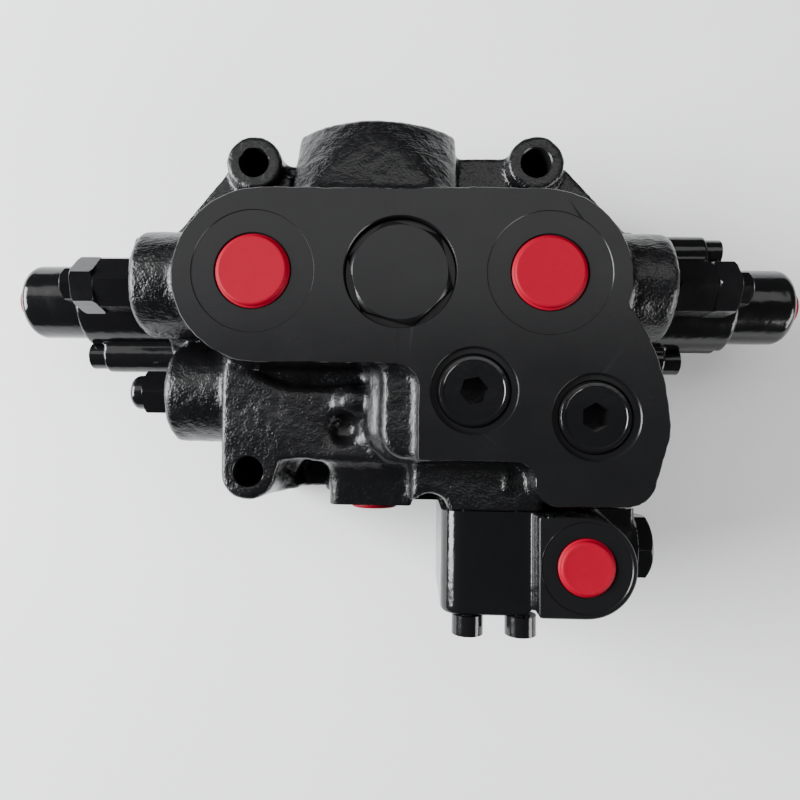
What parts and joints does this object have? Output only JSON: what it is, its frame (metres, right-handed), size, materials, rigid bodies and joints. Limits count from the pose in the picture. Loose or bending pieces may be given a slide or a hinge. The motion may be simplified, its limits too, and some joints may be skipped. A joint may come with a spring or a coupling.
{
  "type": "hydraulic monoblock valve",
  "caption": "Black-painted cast monoblock spool valve with relief cartridges, pilot-operated spring-centred spool, bolted side block and red port plugs.",
  "frame": {"origin": "on the mounting face, straight under the midpoint of the two work ports", "axes": "+X along the spool, +Z out of the work ports, +Y towards the inlet boss"},
  "size_m": [0.3794, 0.2152, 0.1053],
  "materials": {
    "casting_paint": "gloss black paint over rough sand-cast iron",
    "machined_paint": "satin black paint over machined faces",
    "steel": "ground and turned steel",
    "spring_steel": "oiled spring steel wire",
    "seal_rubber": "black nitrile rubber",
    "red_plastic": "bright red low-density plastic"
  },
  "bodies": {
    "valve_body": {"valve_body": "casting_paint", "end_cover_left": "casting_paint", "end_cover_right": "casting_paint", "cover_seals": "seal_rubber", "cover_screws_long": "machined_paint", "cover_screws_short": "machined_paint", "relief_cartridge_left": "machined_paint", "relief_cartridge_right": "machined_paint", "load_check_plug": "machined_paint", "load_check_seal": "seal_rubber", "first_check_plug": "machined_paint", "first_check_seal": "seal_rubber", "second_check_plug": "machined_paint", "second_check_seal": "seal_rubber", "makeup_check_body": "machined_paint", "makeup_check_cap": "machined_paint", "side_block": "casting_paint", "side_block_screws": "machined_paint", "interface_seals": "seal_rubber", "side_block_plug": "machined_paint", "drain_plug": "machined_paint", "centering_spring_left": "spring_steel", "centering_spring_right": "spring_steel", "relief_spring_left": "spring_steel", "relief_spring_right": "spring_steel", "load_check_spring": "spring_steel", "first_check_spring": "spring_steel", "second_check_spring": "spring_steel", "makeup_check_spring": "spring_steel"},
    "spool": {"spool": "steel", "spring_seat_left": "steel", "spring_seat_right": "steel", "spool_end_screw_left": "steel", "spool_end_screw_right": "steel"},
    "relief_poppet_left": {"relief_poppet_left": "steel"},
    "relief_poppet_right": {"relief_poppet_right": "steel"},
    "load_check_poppet": {"load_check_poppet": "steel"},
    "first_check_poppet": {"first_check_poppet": "steel"},
    "second_check_poppet": {"second_check_poppet": "steel"},
    "makeup_check_poppet": {"makeup_check_poppet": "steel"},
    "shuttle": {"shuttle": "steel"},
    "relief_adjuster_left": {"relief_adjuster_left": "machined_paint"},
    "relief_lock_nut_left": {"relief_lock_nut_left": "machined_paint"},
    "relief_adjuster_right": {"relief_adjuster_right": "machined_paint"},
    "relief_lock_nut_right": {"relief_lock_nut_right": "machined_paint"},
    "port_plug_a": {"port_plug_a": "red_plastic"},
    "port_plug_b": {"port_plug_b": "red_plastic"},
    "side_block_port_plug": {"side_block_port_plug": "red_plastic"},
    "return_port_plug": {"return_port_plug": "red_plastic"},
    "pilot_plug_left": {"pilot_plug_left": "red_plastic"},
    "pilot_plug_right": {"pilot_plug_right": "red_plastic"}
  },
  "joints": [
    {"name": "spool_slide", "type": "slide", "parent": "valve_body", "child": "spool", "axis": [1, 0, 0], "range_m": [-0.008, 0.008], "stiffness_N_per_m": 9000, "deforming": ["centering_spring_left", "centering_spring_right"]},
    {"name": "relief_poppet_left_lift", "type": "slide", "parent": "valve_body", "child": "relief_poppet_left", "axis": [-1, 0, 0], "range_m": [0, 0.0015], "stiffness_N_per_m": 4000, "springref_m": -0.002, "deforming": ["relief_spring_left"]},
    {"name": "relief_poppet_right_lift", "type": "slide", "parent": "valve_body", "child": "relief_poppet_right", "axis": [1, 0, 0], "range_m": [0, 0.0015], "stiffness_N_per_m": 4000, "springref_m": -0.002, "deforming": ["relief_spring_right"]},
    {"name": "load_check_lift", "type": "slide", "parent": "valve_body", "child": "load_check_poppet", "axis": [0, 0, 1], "range_m": [0, 0.005], "stiffness_N_per_m": 600, "springref_m": -0.002, "deforming": ["load_check_spring"]},
    {"name": "first_check_lift", "type": "slide", "parent": "valve_body", "child": "first_check_poppet", "axis": [0, 0, 1], "range_m": [0, 0.004], "stiffness_N_per_m": 500, "springref_m": -0.002, "deforming": ["first_check_spring"]},
    {"name": "second_check_lift", "type": "slide", "parent": "valve_body", "child": "second_check_poppet", "axis": [0, 0, 1], "range_m": [0, 0.004], "stiffness_N_per_m": 500, "springref_m": -0.002, "deforming": ["second_check_spring"]},
    {"name": "makeup_check_lift", "type": "slide", "parent": "valve_body", "child": "makeup_check_poppet", "axis": [-1, 0, 0], "range_m": [0, 0.003], "stiffness_N_per_m": 500, "springref_m": -0.002, "deforming": ["makeup_check_spring"]},
    {"name": "shuttle_slide", "type": "slide", "parent": "valve_body", "child": "shuttle", "axis": [1, 0, 0], "range_m": [-0.012, 0.012]},
    {"name": "relief_adjuster_left_turn", "type": "hinge", "parent": "valve_body", "child": "relief_adjuster_left", "pos_m": [-0.139, 0, 0.0765], "axis": [-1, 0, 0], "range_deg": [-180, 180]},
    {"name": "relief_lock_nut_left_turn", "type": "hinge", "parent": "valve_body", "child": "relief_lock_nut_left", "pos_m": [-0.139, 0, 0.0765], "axis": [-1, 0, 0], "range_deg": [-180, 180]},
    {"name": "relief_adjuster_right_turn", "type": "hinge", "parent": "valve_body", "child": "relief_adjuster_right", "pos_m": [0.139, 0, 0.0765], "axis": [1, 0, 0], "range_deg": [-180, 180]},
    {"name": "relief_lock_nut_right_turn", "type": "hinge", "parent": "valve_body", "child": "relief_lock_nut_right", "pos_m": [0.139, 0, 0.0765], "axis": [1, 0, 0], "range_deg": [-180, 180]},
    {"name": "port_plug_a_pull", "type": "slide", "parent": "valve_body", "child": "port_plug_a", "axis": [0, 0, 1], "range_m": [0, 0.03]},
    {"name": "port_plug_b_pull", "type": "slide", "parent": "valve_body", "child": "port_plug_b", "axis": [0, 0, 1], "range_m": [0, 0.03]},
    {"name": "side_block_port_plug_pull", "type": "slide", "parent": "valve_body", "child": "side_block_port_plug", "axis": [0, 0, 1], "range_m": [0, 0.03]},
    {"name": "return_port_plug_pull", "type": "slide", "parent": "valve_body", "child": "return_port_plug", "axis": [0, -1, 0], "range_m": [0, 0.03]},
    {"name": "pilot_plug_left_pull", "type": "slide", "parent": "valve_body", "child": "pilot_plug_left", "axis": [-1, 0, 0], "range_m": [0, 0.03]},
    {"name": "pilot_plug_right_pull", "type": "slide", "parent": "valve_body", "child": "pilot_plug_right", "axis": [1, 0, 0], "range_m": [0, 0.03]}
  ]
}
